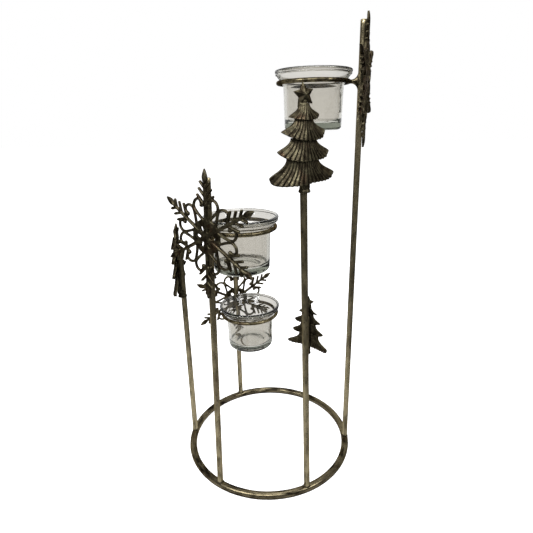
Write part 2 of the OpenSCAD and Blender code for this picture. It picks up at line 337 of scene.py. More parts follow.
def along_base_ring(tree):
    """Coordinates that draw a pattern out round the base ring: the ring is shrunk, but not its wire."""
    flat = vector_result(tree, "MULTIPLY", plain_coordinates(tree), (1, 1, 0)).outputs["Vector"]
    reach = vector_result(tree, "LENGTH", flat).outputs["Value"]
    out = vector_result(tree, "NORMALIZE", flat).outputs["Vector"]
    shrunk = vector_result(tree, "SCALE", out)
    smaller = calculated(tree, "SUBTRACT", reach, (1 - DRAWN_OUT) * BASE_RING_R)
    tree.links.new(smaller, shrunk.inputs["Scale"])
    upright = vector_result(tree, "MULTIPLY", plain_coordinates(tree), (0, 0, 1)).outputs["Vector"]
    moved = vector_result(tree, "ADD", upright, (0, 0, RING_PATTERN_SHIFT)).outputs["Vector"]
    return vector_result(tree, "ADD", shrunk.outputs["Vector"], moved).outputs["Vector"]


def height_tone_and_painted_light(tree, coloured, blotch, dark, floor_light_and_wear_colour):
    """Darker high on the stand; lighter in patches low down, wear together with painted light off the
    floor; and faces turned down darkened with painted shade.
    """
    height = part_of_vector(tree, plain_coordinates(tree), "Z")
    darker_up_mask = calculated(tree, "MULTIPLY", stepped(tree, height, *DARKER_UP), 0.6)
    coloured = mixed(tree, darker_up_mask, coloured, dark)
    # Lighter patches low down: wear, and painted light off the floor
    low = stepped(tree, height, *LIGHTER_DOWN)
    floor_light_and_wear_mask = calculated(tree, "MULTIPLY", low, stepped(tree, blotch, 0.4, 0.6))
    coloured = mixed(tree, floor_light_and_wear_mask, coloured, floor_light_and_wear_colour)
    # Faces turned down are darkened: painted shade under the wire
    upward = part_of_vector(tree, tree.nodes.new("ShaderNodeNewGeometry").outputs["Normal"], "Z")
    return mixed(tree, stepped(tree, upward, 0.1, -0.35), coloured, dark)


def antique_metal(name, colours, rub, polish_and_sheen, skin, floor_light_and_wear_colour=None, coordinates_of=plain_coordinates):
    """Dark patina over brass, rubbed bright on raised places, with copper-brown patches. Hollows are
    darkened with patina and painted shade, and polished patches carry a painted highlight.
    """
    dark, mid, bright, copper = colours
    least_rough, most_rough, relief = skin
    material = bpy.data.materials.new(name)
    material.use_nodes = True
    tree = material.node_tree
    shader = tree.nodes["Principled BSDF"]
    coordinates = coordinates_of(tree)
    blotch = noise_texture(tree, coordinates, BLOTCH_SCALE, 5)
    grain = noise_texture(tree, coordinates, GRAIN_SCALE, 5, 0.65)
    stain = noise_texture(tree, coordinates, COPPER_SCALE, 3)
    polish_and_sheen_pattern = noise_texture(tree, coordinates, POLISH_SCALE, 1)
    raised = tree.nodes.new("ShaderNodeNewGeometry").outputs["Pointiness"]
    base = ramp(tree, blotch, ((0.38, dark), (0.5, mid), (0.7, bright)))
    copper_mask = calculated(tree, "MULTIPLY", stepped(tree, stain, 0.58, 0.7), 0.6)
    coloured = mixed(tree, copper_mask, base, copper)
    if floor_light_and_wear_colour:
        coloured = height_tone_and_painted_light(tree, coloured, blotch, dark, floor_light_and_wear_colour)
    edge = stepped(tree, raised, *rub)
    worn_edge = calculated(tree, "MULTIPLY", edge, stepped(tree, grain, 0.2, 0.5), True)
    rubbed = mixed(tree, worn_edge, coloured, bright)
    # Hollows darken: patina gathered there, and painted shade as well
    hollow_patina_and_shade = stepped(tree, raised, *HOLLOW_PATINA_AND_SHADE)
    # Polished patches are painted brighter: rubbed brass, and a painted highlight as well
    polish_and_sheen_mask = calculated(tree, "MULTIPLY", stepped(tree, polish_and_sheen_pattern, 0.5, 0.66), polish_and_sheen, True)
    coloured_with_painted_light = mixed(tree, polish_and_sheen_mask, mixed(tree, hollow_patina_and_shade, dark, rubbed), bright)
    tree.links.new(coloured_with_painted_light, shader.inputs["Base Color"])
    shader.inputs["Metallic"].default_value = 0.9
    shader.inputs["Specular Tint"].default_value = METAL_SHEEN
    rough = stepped(tree, grain, 0.3, 0.7, least_rough, most_rough)
    roughness = calculated(tree, "SUBTRACT", rough, calculated(tree, "MULTIPLY", polish_and_sheen_mask, 0.12))
    tree.links.new(roughness, shader.inputs["Roughness"])
    bump = tree.nodes.new("ShaderNodeBump")
    bump.inputs["Strength"].default_value = relief
    bump.inputs["Distance"].default_value = 0.25 * MM
    height = calculated(tree, "ADD", grain, calculated(tree, "MULTIPLY", blotch, 1.5))
    tree.links.new(height, bump.inputs["Height"])
    tree.links.new(bump.outputs["Normal"], shader.inputs["Normal"])
    return material


def clear_glass():
    """Pressed glass: a faint warm grey at its surfaces, and a grey-green in its depth."""
    material = bpy.data.materials.new("clear_pressed_glass")
    material.use_nodes = True
    tree = material.node_tree
    shader = tree.nodes["Principled BSDF"]
    shader.inputs["Base Color"].default_value = GLASS_TINT
    shader.inputs["Transmission Weight"].default_value = 1.0
    shader.inputs["Roughness"].default_value = 0.04
    shader.inputs["IOR"].default_value = 1.47
    depth = tree.nodes.new("ShaderNodeVolumeAbsorption")
    depth.inputs["Color"].default_value = GLASS_DEPTH_TINT
    depth.inputs["Density"].default_value = GLASS_DENSITY
    tree.links.new(depth.outputs[0], tree.nodes["Material Output"].inputs["Volume"])
    ripple = noise_texture(tree, plain_coordinates(tree), RIPPLE_SCALE, 1)
    bump = tree.nodes.new("ShaderNodeBump")
    bump.inputs["Strength"].default_value = 0.03
    bump.inputs["Distance"].default_value = 0.5 * MM
    tree.links.new(ripple, bump.inputs["Height"])
    tree.links.new(bump.outputs["Normal"], shader.inputs["Normal"])
    return material


wire_metal = antique_metal("antique_wire", WIRE_COLOURS, WIRE_RUB, WIRE_POLISH_AND_SHEEN, WIRE_SKIN)
rod_metal = antique_metal("antique_rod", ROD_COLOURS, WIRE_RUB, WIRE_POLISH_AND_SHEEN, WIRE_SKIN,
                          ROD_FLOOR_LIGHT_AND_WEAR, along_rods)
ring_metal = antique_metal("antique_base_ring", WIRE_COLOURS, WIRE_RUB, BASE_RING_POLISH_AND_SHEEN, BASE_RING_SKIN,
                           RING_FLOOR_LIGHT_AND_WEAR, along_base_ring)
cast_metal = antique_metal("antique_casting", CAST_COLOURS, CAST_RUB, 0, CAST_SKIN)
painted_lit_cast_metal = antique_metal("antique_casting_painted_lit", PAINTED_LIT_CAST_COLOURS, CAST_RUB, 0, CAST_SKIN)
weld_metal = antique_metal("dark_weld", WELD_COLOURS, WELD_RUB, 0, WELD_SKIN)
glass = clear_glass()


# Wire stand

def wire_radius(place_m, radius):
    """The radius of a drawn and painted wire, which is never quite even."""
    long_waves = 0.02 * noise.noise(Vector(place_m) * 130)
    short_waves = 0.012 * noise.noise(Vector(place_m) * 420)
    return radius * (1 + long_waves + short_waves)


def base_ring_shape(turns=360, sides=28):
    rings = []
    for out_x, out_y in circle_points(turns):
        out = Vector((out_x, out_y, 0))
        centre = out * BASE_RING_R + Vector((0, 0, BASE_WIRE_Z))
        ring = []
        for across, upward in circle_points(sides):
            point = out * (BASE_RING_R + BASE_WIRE_R * across)
            point.z = BASE_WIRE_Z + BASE_WIRE_R * upward
            radius = min(wire_radius(point, BASE_WIRE_R), BASE_WIRE_R * 1.02)
            point = centre + (point - centre).normalized() * radius
            point.z = max(point.z, 0)
            ring.append(point)
        rings.append(ring)
    return ring_tube(rings, closed=True)


def rod_shape(foot, top, sides=20, step=3 * MM):
    axis = (top - foot).normalized()
    side = axis.cross(Vector((0, 1, 0))).normalized()
    front = axis.cross(side)
    # The foot is hidden in the base ring's wire
    start = BASE_WIRE_Z + BASE_WIRE_R * 0.55
    length = (top - foot).length
    steps = round(length / step)
    stations = [start + (length - ROD_CHAMFER - start) * i / steps for i in range(steps + 1)]
    rings = []
    for height in stations + [length]:
        centre = foot + axis * height
        shrink = ROD_CHAMFER if height == length else 0
        ring = []
        for x, y in circle_points(sides):
            out = side * x + front * y
            radius = min(wire_radius(centre + out * ROD_R, ROD_R), ROD_R) - shrink
            ring.append(centre + out * radius)
        rings.append(ring)
    return ring_tube(rings)


def blob(centre, radius, squash, seed, rings=8, sides=12):
    """A lumpy bead of weld metal."""
    sections = []
    for i in range(1, rings):
        polar = math.pi * i / rings
        section = []
        for x, y in circle_points(sides):
            out = Vector((math.sin(polar) * x, math.sin(polar) * y, math.cos(polar)))
            lump = 1 + 0.18 * noise.noise(out * 2 + Vector((seed, seed, 0)))
            section.append(centre + Vector((out.x, out.y, out.z * squash)) * radius * lump)
        sections.append(section)
    return ring_tube(sections)


def foot_weld_parts(column, beads=7):
    foot, top = rod_ends(column)
    up = (top - foot).normalized()
    parts = []
    for i in range(beads):
        around = 2 * math.pi * i / beads + random.uniform(-0.3, 0.3)
        out = Vector((math.cos(around), math.sin(around), 0))
        height = BASE_WIRE_Z + BASE_WIRE_R * random.uniform(0.86, 1.05)
        centre = foot + up * height + out * ROD_R * 0.8
        parts.append(blob(centre, random.uniform(1.2, 1.6) * MM, 0.9, i + COLUMNS[column]))
    return parts


# Cast snowflake

# Shares of an arm's length, with the arm along +Y
STEM_HALF_W = (0.033, 0.026)
SPEAR_BASE, SPEAR_WIDEST, SPEAR_HALF_W = 0.786, 0.877, 0.053
BARB_ROOT = (0.454, 0.59, 0.716)
BARB_LENGTH = (0.227, 0.173, 0.136)
BARB_ANGLE = math.radians(44)
PETAL = (
    (0.034, 0.24), (0.132, 0.315), (0.23, 0.423), (0.214, 0.516),
    (0.147, 0.56), (0.102, 0.536), (0.077, 0.47),
)
HUB_SHARE = 0.268
# How far out the hub's holes sit, and their width and length
HUB_HOLE_SHARE = 0.135
HUB_HOLE = (0.056, 0.1)
# Half the width of the petals' and barbs' bars, and the thickness of the casting and of those bars
FLAKE_WIRE_R = 1.18 * MM
FLAKE_T = 2.6 * MM
FLAKE_WIRE_T = FLAKE_T * 0.85
# Thickness at the edges of the bars and of the low domes
BAR_EDGE = 0.35 * MM
DOME_EDGE = 0.3 * MM
# Each snowflake as it was welded: turned about its rod, and spun on its centre, in degrees
FLAKE_TURN = {"low": -5.0, "middle": 0.0, "top": -13.5}
FLAKE_SPIN = {"low": -1.0, "middle": -1.0, "top": 4.0}
# How far the left and right arms' tips are bent back
FLAKE_BEND = {"low": (0, 0), "middle": (4.6 * MM, 0.9 * MM), "top": (0, 0)}


def d_section_sweep(path, half_widths, heights, arch=9):
    """A bar with a flat back and an arched front, along a flat path."""
    rings = []
    last = len(path) - 1
    for i, point in enumerate(path):
        along = path[min(i + 1, last)] - path[max(i - 1, 0)]
        along = along / np.linalg.norm(along)
        across = np.array((-along[1], along[0]))
        ring = []
        for j in range(arch + 1):
            angle = math.pi * j / arch
            offset = across * half_widths[i] * math.cos(angle)
            height = between(BAR_EDGE, heights[i], math.sin(angle))
            ring.append((point[0] + offset[0], point[1] + offset[1], height))
        for edge in (-0.8, 0.8):
            offset = across * half_widths[i] * edge
            ring.append((point[0] + offset[0], point[1] + offset[1], 0.0))
        rings.append(ring)
    return ring_tube(rings)


def petal_path(side, steps=7):
    """A smooth curve through the petal's points, on one side of an arm."""
    p = [np.array(point) for point in PETAL]
    path = []
    for i in range(len(p) - 1):
        before, a, b, after = p[max(i - 1, 0)], p[i], p[i + 1], p[min(i + 2, len(p) - 1)]
        for t in np.linspace(0, 1, steps, endpoint=False):
            path.append((2 * a + (b - before) * t + (2 * before - 5 * a + 4 * b - after) * t ** 2
                         + (3 * a - before - 3 * b + after) * t ** 3) / 2)
    path.append(p[-1])
    return [point * (side, 1) * FLAKE_R for point in path]


def bump_ball(centre, radius, height, sides=14, rings=6):
    """A low dome with a flat back."""
    circle = circle_points(sides)
    foot = radius * 0.85
    sections = [[(centre[0] + foot * x, centre[1] + foot * y, 0) for x, y in circle]]
    for i in range(rings):
        angle = math.pi / 2 * i / rings
        reach = radius * math.cos(angle)
        rise = between(DOME_EDGE, height, math.sin(angle))
        sections.append([(centre[0] + reach * x, centre[1] + reach * y, rise) for x, y in circle])
    return ring_tube(sections)


def hub_disc(sides=96, rings=14):
    """The domed disc in the middle, before its holes are cut."""
    hub_r = HUB_SHARE * FLAKE_R
    front = []
    for r in [hub_r * t for t in np.linspace(0.02, 1, rings)]:
        rise = FLAKE_T * (0.95 - 0.3 * (r / hub_r) ** 2)
        front.append([(r * x, r * y, rise) for x, y in circle_points(sides)])
    rear = [[(x, y, 0.0) for x, y, _ in ring] for ring in reversed(front)]
    return ring_tube(front + rear)


def hub_hole_cutter(arm, sides=24):
    """The space of one oval hole of the hub, between two arms."""
    angle = math.radians(60 * arm + 30)
    along = np.array((-math.sin(angle), math.cos(angle)))
    across = np.array((along[1], -along[0]))
    rings = []
    for z in (-FLAKE_T, 2 * FLAKE_T):
        ring = []
        for x, y in circle_points(sides):
            point = along * (HUB_HOLE_SHARE + HUB_HOLE[1] / 2 * x) + across * HUB_HOLE[0] / 2 * y
            ring.append((*(point * FLAKE_R), z))
        rings.append(ring)
    return ring_tube(rings)


def cut(mesh, cutters):
    """The mesh with the closed cutters' space taken out of it."""
    body = bpy.data.objects.new("cut_body", mesh)
    bpy.context.scene.collection.objects.link(body)
    tool = new_object("cut_tool", *gathered(cutters))
    outward = bmesh.new()
    outward.from_mesh(tool.data)
    bmesh.ops.recalc_face_normals(outward, faces=outward.faces)
    outward.to_mesh(tool.data)
    outward.free()
    boolean = body.modifiers.new("holes", "BOOLEAN")
    boolean.operation = "DIFFERENCE"
    boolean.object = tool
    boolean.solver = "EXACT"
    bpy.context.view_layer.update()
    evaluated = body.evaluated_get(bpy.context.evaluated_depsgraph_get())
    result = bpy.data.meshes.new_from_object(evaluated)
    bpy.data.objects.remove(body)
    bpy.data.objects.remove(tool)
    return result


def spear_half_width(t):
    """Half the spearhead's width at the share t from its base to its tip, as a share of its widest."""
    widest = (SPEAR_WIDEST - SPEAR_BASE) / (1 - SPEAR_BASE)
    if t < widest:
        return 0.4 + 0.6 * math.sin(math.pi / 2 * t / widest)
    return max(0.03, 1 - ((t - widest) / (1 - widest)) ** 1.5)


def stem_part(steps=24):
    path = [np.array((0, share)) * FLAKE_R for share in np.linspace(0.02, SPEAR_BASE + 0.06, steps)]
    widths = [FLAKE_R * between(*STEM_HALF_W, share) for share in np.linspace(0, 1, steps)]
    return d_section_sweep(path, widths, [FLAKE_T] * steps)


def spear_part(steps=20):
    shares = np.linspace(0, 1, steps)
    path = [np.array((0, between(SPEAR_BASE, 1, t))) * FLAKE_R for t in shares]
    widths = [FLAKE_R * SPEAR_HALF_W * spear_half_width(t) for t in shares]
    heights = [FLAKE_T * (0.7 + 0.3 * math.sin(math.pi * min(1, 0.25 + 0.75 * t))) for t in shares]
    return d_section_sweep(path, widths, heights)


def barb_part(side, root, length, steps=10):
    start = np.array((0, root)) * FLAKE_R
    span = np.array((side * math.sin(BARB_ANGLE), math.cos(BARB_ANGLE))) * length * FLAKE_R
    path = [start + span * t for t in np.linspace(0, 1.04, steps)]
    widths = [FLAKE_WIRE_R * (1.02 if t < 0.95 else 0.7) for t in np.linspace(0, 1, steps)]
    return d_section_sweep(path, widths, [FLAKE_WIRE_T] * steps)


def arm_parts():
    """The closed shapes of one arm, along +Y."""
    parts = [stem_part(), spear_part()]
    for side in (-1, 1):
        for root, length in zip(BARB_ROOT, BARB_LENGTH):
            parts.append(barb_part(side, root, length))
        petal = petal_path(side)
        parts.append(d_section_sweep(petal, [FLAKE_WIRE_R] * len(petal), [FLAKE_WIRE_T] * len(petal)))
        parts.append(bump_ball(petal[-1], FLAKE_WIRE_R * 1.6, FLAKE_T * 0.95))
    return parts


def snowflake_mesh():
    one_arm = arm_parts()
    parts = []
    for arm in range(6):
        turn = Matrix.Rotation(math.radians(60 * arm), 4, "Z")
        for verts, faces in one_arm:
            parts.append(([turn @ Vector(v) for v in verts], faces))
    parts.append(hub_disc())
    solid = fuse("snowflake_solid", parts, WELD_VOXEL, 0)
    pierced = cut(solid, [hub_hole_cutter(arm) for arm in range(6)])
    shell = ([v.co[:] for v in pierced.vertices], [tuple(p.vertices) for p in pierced.polygons])
    mesh = fuse("snowflake_casting", [shell], CAST_VOXEL, 3)
    # Lay the pattern's arm along Z and its front along X
    mesh.transform(Matrix(((0, 0, 1, 0), (1, 0, 0, 0), (0, 1, 0, 0), (0, 0, 0, 1))))
    return mesh


def bent_flake(mesh, left, right):
    """The snowflake with its left and right halves bent back toward the stand."""
    data = mesh.copy()
    for vertex in data.vertices:
        reach = vertex.co.y / FLAKE_R
        vertex.co.x -= (left if reach < 0 else right) * reach * reach
    return data


# Cast tree

# Each tier from the star down, in millimetres. The heights of its top and its hem are above the trunk's
# foot. Pairs are for the left and the right of the rod: half the top's width, the hem's height beside the
# middle, how steeply and how roundly the hem rises, and each tip's reach, height and distance in front of
# the rod's axis
TIERS = (
    {"top": 61.0, "top_half": (4.0, 4.0), "hem": (50.0, 50.0), "sweep": ((2.2, 1.0), (4.0, 1.6)),
     "ribs": 8, "tips": ((12.2, 52.3, 2.8), (11.8, 53.6, 2.8))},
    {"top": 51.5, "top_half": (7.4, 6.8), "hem": (36.5, 36.5), "sweep": ((2.2, 1.0), (5.0, 1.9)),
     "ribs": 11, "tips": ((17.5, 42.6, 1.4), (17.0, 42.6, 2.2))},
    {"top": 38.6, "top_half": (10.7, 9.4), "hem": (22.2, 22.8), "sweep": ((2.4, 1.3), (5.0, 1.9)),
     "ribs": 13, "tips": ((21.0, 29.5, 1.5), (20.0, 28.7, 2.5))},
    {"top": 25.4, "top_half": (14.3, 11.3), "hem": (5.7, 7.4), "sweep": ((8.0, 2.2), (5.0, 2.0)),
     "ribs": 15, "tips": ((27.2, 12.0, 0.4), (26.0, 12.8, 0.2))},
)
# How far a tier stands in front of the rod's axis, in its middle from top to hem and at its top's sides
TIER_FRONT = (5.6, 7.8)
TIER_SIDE = 2.8
TIER_WALL = 1.7
# How late and how sharply a tier's sides flare out to its tips
FLARE_START, EDGE_FLARE = 2.6, 1.6
# Depth of the ribs at a tier's top, how much deeper they get down to its hem, and how far they pass it
RIB_DEPTH, RIB_DEEPENING, RIB_ENDS = 0.5, 1.05, 0.35
# The trunk and the spine behind the tiers: how far in front of the rod's axis they stand, and their
# (height, radius) pairs
TRUNK_FORWARD, TRUNK = 1.2, ((0.0, 4.0), (0.4, 4.5), (1.2, 4.4), (2.6, 3.9), (4.5, 3.5), (8.5, 3.3))
SPINE_FORWARD, SPINE = 2.5, ((3.5, 3.5), (63.0, 2.0))
# Heights between which the groove for the rod is cut
GROOVE_ENDS = (-5 * MM, 49 * MM)
# The star's points, as degrees from the right and reaches in millimetres: a hand-finished casting isn't
# regular. Its centre is measured up from the tree's top
STAR_POINTS = ((96, 7.8), (166, 8.2), (238, 9.2), (318, 9.0), (26, 8.0))
STAR_NOTCH_R = 4.4
STAR_CENTRE = -8.0
STAR_BACK, STAR_FRONT = 1.0, 5.2
# The middle tree's bent branch, in millimetres: where the bend starts out from the rod and down from the
# top, how far it goes on each way, and how far forward it takes the tip
BEND_OUT, BEND_OUT_SPAN = 8, 18.6
BEND_DOWN, BEND_DOWN_SPAN = 38, 24
BEND_FORWARD = 6


def tier_point(tier, s, t):
    """A point of a tier's front, in millimetres.

    s runs across it from -1 to 1, and t from its top to its hem.
    """
    side = 0 if s < 0 else 1
    tip_out, tip_up, tip_forward = tier["tips"][side]
    hem_middle = between(*tier["hem"], 0.5 + 0.5 * math.tanh(6 * s))
    rise, roundness = tier["sweep"][side]
    hem = between(hem_middle, tip_up, 1 - (1 - abs(s) ** rise) ** (1 / roundness))
    half = between(tier["top_half"][side], tip_out, 1 - (1 - t ** FLARE_START) ** EDGE_FLARE)
    middle = between(*TIER_FRONT, t)
    edge = between(TIER_SIDE, tip_forward, t)
    # The ribs fade out towards the sides
    ridge = abs(math.cos(math.pi * tier["ribs"] * (s + 1) / 2))
    fade = 1 - abs(s) ** 3.5
    forward = between(middle, edge, abs(s) ** 2.2) + (RIB_DEPTH + RIB_DEEPENING * t) * (ridge - 0.65) * fade
    height = between(tier["top"], hem, t) - (ridge - 0.6) * RIB_ENDS * t ** 8 * fade
    return forward, s * half, height


def tier_part(tier, rows=18):
    columns = tier["ribs"] * 10
    rings = []
    for row in range(rows + 1):
        front = [tier_point(tier, 2 * col / columns - 1, row / rows) for col in range(columns + 1)]
        rear = [(x - TIER_WALL, y, z) for x, y, z in reversed(front)]
        rings.append([(x * MM, y * MM, z * MM - TREE_H) for x, y, z in front + rear])
    return ring_tube(rings)


def star_part():
    """A bevelled star: ridges run from each point to the raised middle."""
    outline = []
    for i, (point, reach) in enumerate(STAR_POINTS):
        after = STAR_POINTS[(i + 1) % len(STAR_POINTS)][0]
        notch = point + (after - point) % 360 / 2
        for angle, r in ((math.radians(point), reach), (math.radians(notch), STAR_NOTCH_R)):
            outline.append((r * math.cos(angle), r * math.sin(angle) + STAR_CENTRE))
    rim = between(STAR_BACK, STAR_FRONT, 0.35)
    verts = [(STAR_BACK, u, v) for u, v in outline] + [(rim, u, v) for u, v in outline]
    verts.append((STAR_FRONT, 0, STAR_CENTRE))
    verts = [(x * MM, y * MM, z * MM) for x, y, z in verts]
    count = len(outline)
    faces = [tuple(range(count - 1, -1, -1))]
    for i in range(count):
        k = (i + 1) % count
        faces.append((i, k, count + k, count + i))
        faces.append((count + i, count + k, 2 * count))
    return verts, faces


def tapered_post(centre_x, stations, sides=24):
    """A round post in millimetres, from (height above the trunk's foot, radius) pairs."""
    rings = []
    for z, r in stations:
        circle = circle_points(sides)
        rings.append([((centre_x + r * x) * MM, r * y * MM, z * MM - TREE_H) for x, y in circle])
    return ring_tube(rings)


def tree_mesh():
    parts = [tier_part(tier) for tier in TIERS]
    parts.append(star_part())
    parts.append(tapered_post(TRUNK_FORWARD, TRUNK))
    parts.append(tapered_post(SPINE_FORWARD, SPINE))
    solid = fuse("tree_casting", parts, CAST_VOXEL, 1)
    # The trunk and the spine hug the rod
    groove = [[(ROD_R * x, ROD_R * y, z - TREE_H) for x, y in circle_points(32)] for z in GROOVE_ENDS]
    return cut(solid, [ring_tube(groove)])


def bent_tree(mesh):
    """The tree with its lowest left branch bent forward, as by a knock."""
    data = mesh.copy()
    for vertex in data.vertices:
        out = max(0.0, -vertex.co.y / MM - BEND_OUT) / BEND_OUT_SPAN
        down = min(1.0, max(0.0, (-vertex.co.z / MM - BEND_DOWN) / BEND_DOWN_SPAN))
        vertex.co.x += BEND_FORWARD * MM * out ** 1.5 * down ** 1.5
    return data


# Cup rings

def wire_loop(ring_r, turns=180, sides=18):
    rings = []
    for out_x, out_y in circle_points(turns):
        out = Vector((out_x, out_y, 0))
        rings.append([out * (ring_r + CUP_WIRE_R * across) + Vector((0, 0, CUP_WIRE_R * upward))
                      for across, upward in circle_points(sides)])
    return ring_tube(rings, closed=True)


def filleted_stem(start, end, steps=24, sides=20):
    """The stem from the loop to its rod, which grows into a web where it is welded."""
    fillet_start = end - STEM_FILLET - ROD_R * 0.45
    rings = []
    for i in range(steps + 1):
        x = start + (end - start) * i / steps
        into = min(1.0, max(0.0, (x - fillet_start) / STEM_FILLET))
        half_h = CUP_WIRE_R * 0.9 + STEM_FILLET * (1 - math.sqrt(1 - into * into))
        half_w = CUP_WIRE_R * (0.85 + 0.15 * into)
        rings.append([Vector((x, half_w * y, half_h * z)) for y, z in circle_points(sides)])
    return ring_tube(rings)


def cup_ring_mesh(ring_r, reach):
    """A wire loop whose stem flares into its weld on the rod. X points to the rod."""
    stem = filleted_stem(ring_r - CUP_WIRE_R * 0.3, reach - ROD_R * 0.55)
    return fuse("cup_ring_wire", [wire_loop(ring_r), stem], WELD_VOXEL, 3)


# Glass cups

def arc(centre, radius, start, end, steps):
    angles = [math.radians(start + (end - start) * i / steps) for i in range(steps + 1)]
    return [(centre[0] + radius * math.cos(a), centre[1] + radius * math.sin(a)) for a in angles]


def cup_profile():
    """Half the glass's section in millimetres, from the middle of the foot round to the inner floor."""
    height, rim_r, neck_r, foot_r = 47.0, 32.0, 24.9, 23.9
    wall, floor, punt, bead = 2.3, 5.5, 1.4, 1.5
    neck_z, cone_top_z, cone_top_r = height - 12, height - 4.6, rim_r - bead
    corner = 3.2
    # The hollow foot, its rounded corner and the slightly widening side
    outer = [(0, punt), (6, punt + 0.1), (10, punt), (13.6, punt - 0.4), (14.6, punt - 0.9), (16.0, 0.15)]
    outer += [(18.0, 0)] + arc((foot_r - corner, corner), corner, -80, 0, 8)
    outer += [(between(foot_r, neck_r, t), between(corner, neck_z - 1, t)) for t in (0.25, 0.5, 0.75, 1)]
    # The flare that sits in the wire ring, a small bead and the rolled rim
    outer += [(neck_r + 0.25, neck_z), (neck_r + 1.0, neck_z + 1.1), (cone_top_r - 0.3, cone_top_z - 0.4)]
    outer += arc((rim_r - bead, height - 3.5), bead * 0.72, -60, 60, 6)
    outer += arc((rim_r - bead, height - bead), bead, -40, 110, 12)
    # The inside, from the rim down to the floor
    inner = [(cone_top_r - wall + 0.2, cone_top_z + 1.2), (neck_r - wall + 1.0, neck_z + 2.0)]
    inner += [(neck_r - wall, neck_z + 0.4), (neck_r - wall - 0.3, neck_z - 2)]
    inner_foot, inner_corner = foot_r + 0.2 - wall, 4.0
    inner_neck, inner_rise = neck_r - wall - 0.4, neck_z - 8 - floor
    inner += [(between(inner_foot, inner_neck, t), floor + inner_corner + inner_rise * t)
              for t in (0.75, 0.5, 0.25)]
    inner += arc((inner_foot - inner_corner, floor + inner_corner), inner_corner, 0, -90, 10)
    inner += [(14, floor), (8, floor + 0.05), (0, floor)]
    return outer + inner


def cup_mesh(sides=240):
    """The profile turned round the cup's axis, with a middle point in the foot and one in the floor."""
    profile = cup_profile()
    verts, faces = [], []
    first, last = profile[0], profile[-1]
    for radius, z in profile[1:-1]:
        verts += [(radius * MM * x, radius * MM * y, z * MM) for x, y in circle_points(sides)]
    count = len(profile) - 2
    for i in range(count - 1):
        for j in range(sides):
            k = (j + 1) % sides
            faces.append((i * sides + j, i * sides + k, (i + 1) * sides + k, (i + 1) * sides + j))
    bottom = len(verts)
    verts.append((0, 0, first[1] * MM))
    verts.append((0, 0, last[1] * MM))
    top_ring = (count - 1) * sides
    for j in range(sides):
        k = (j + 1) % sides
        faces.append((bottom, k, j))
        faces.append((bottom + 1, top_ring + j, top_ring + k))
    obj = new_object("glass_cup_source", verts, faces)
    mesh = obj.data
    bpy.data.objects.remove(obj)
    shade_smooth(mesh)
    return mesh


# Assembly

def build_stand():
    ring = new_object("base_ring_wire", *base_ring_shape())
    shade_smooth(ring.data)
    ring.data.materials.append(ring_metal)
    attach(ring, "stand")
    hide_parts("base_ring")
    for column in COLUMNS:
        foot, top = rod_ends(column)
        rod = new_object("rod_" + column + "_wire", *rod_shape(foot, top))
        shade_smooth(rod.data)
        rod.data.materials.append(rod_metal)
        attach(rod, "stand")
        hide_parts("rod_" + column)
    welds = [part for column in COLUMNS for part in foot_weld_parts(column)]
    weld_mesh = fuse("foot_weld_beads", welds, WELD_VOXEL, 3)
    place("foot_weld_beads", weld_mesh, Matrix.Identity(4), "foot_welds", "stand", weld_metal)


def build_ornaments():
    flake, tree = snowflake_mesh(), tree_mesh()
    for level in LEVELS:
        name = "snowflake_" + level
        low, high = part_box(name)
        turn = Matrix.Rotation(math.radians(FLAKE_TURN[level]), 4, "Z")
        spin = Matrix.Rotation(math.radians(FLAKE_SPIN[level]), 4, "X")
        matrix = column_matrix(level + "_cup") @ turn
        matrix = matrix @ Matrix.Translation((ROD_R + WELD_GAP, 0, (low.z + high.z) / 2)) @ spin
        casting = bent_flake(flake, *FLAKE_BEND[level])
        # The low snowflake takes the lighter copy: painted light on its back
        metal = painted_lit_cast_metal if level == "low" else cast_metal
        place(name + "_casting", casting, matrix, name, "stand", metal)
        name = "tree_" + level
        matrix = column_matrix(level + "_tree") @ Matrix.Translation((0, 0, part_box(name)[1].z))
        casting = bent_tree(tree) if level == "middle" else tree
        place(name + "_casting", casting, matrix, name, "stand", cast_metal)


def build_cups():
    cup = cup_mesh()
    # The top cup's column is on +X, so its ring gives the size of all three
    cup_low, cup_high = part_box("glass_cup_top")
    centre_x = (cup_low.x + cup_high.x) / 2
    ring_r = centre_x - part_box("cup_ring_top")[0].x - CUP_WIRE_R
    reach = BASE_RING_R - centre_x
    ring = cup_ring_mesh(ring_r, reach)
    for level in LEVELS:
        low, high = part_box("glass_cup_" + level)
        middle = (low + high) / 2
        foot = Matrix.Translation((middle.x, middle.y, low.z))
        place("glass_cup_%s_glass" % level, cup, foot,
              "glass_cup_" + level, "cup_" + level, glass)
        turn = Matrix.Rotation(math.radians(COLUMNS[level + "_cup"]), 4, "Z")
        seat = Matrix.Translation((middle.x, middle.y, high.z - SEAT_DROP)) @ turn
        place("cup_ring_%s_wire" % level, ring, seat,
              "cup_ring_" + level, "stand", wire_metal)


# Stage

FLOOR_HALF = 6
# The middle of the floor's bright part, to the left of the stand as the camera sees it, and how far from
# it metal mirrors the floor bright and dim
FLOOR_MIDDLE = (-0.12, 0.05, 0)
BRIGHT_R, DIM_R = 0.15, 0.45
DIM_FLOOR = 0.12
# Metal mirrors the backdrop white and the room in front of the stand dim
DIM_ROOM = 0.17
# Lamps: place, width and height, and watts
LAMPS = {
    "key_softbox": ((-0.7, -0.85, 1.0), (0.5, 0.5), 8),
    "fill_softbox": ((0.9, -0.5, 0.95), (0.4, 0.6), 6),
    "top_softbox": ((0.1, 0.1, 1.3), (0.7, 0.7), 7),
    "front_softbox": ((-0.1, -0.9, 1.05), (0.9, 0.45), 11),
}
LAMP_TARGET = (0, 0, 0.22)


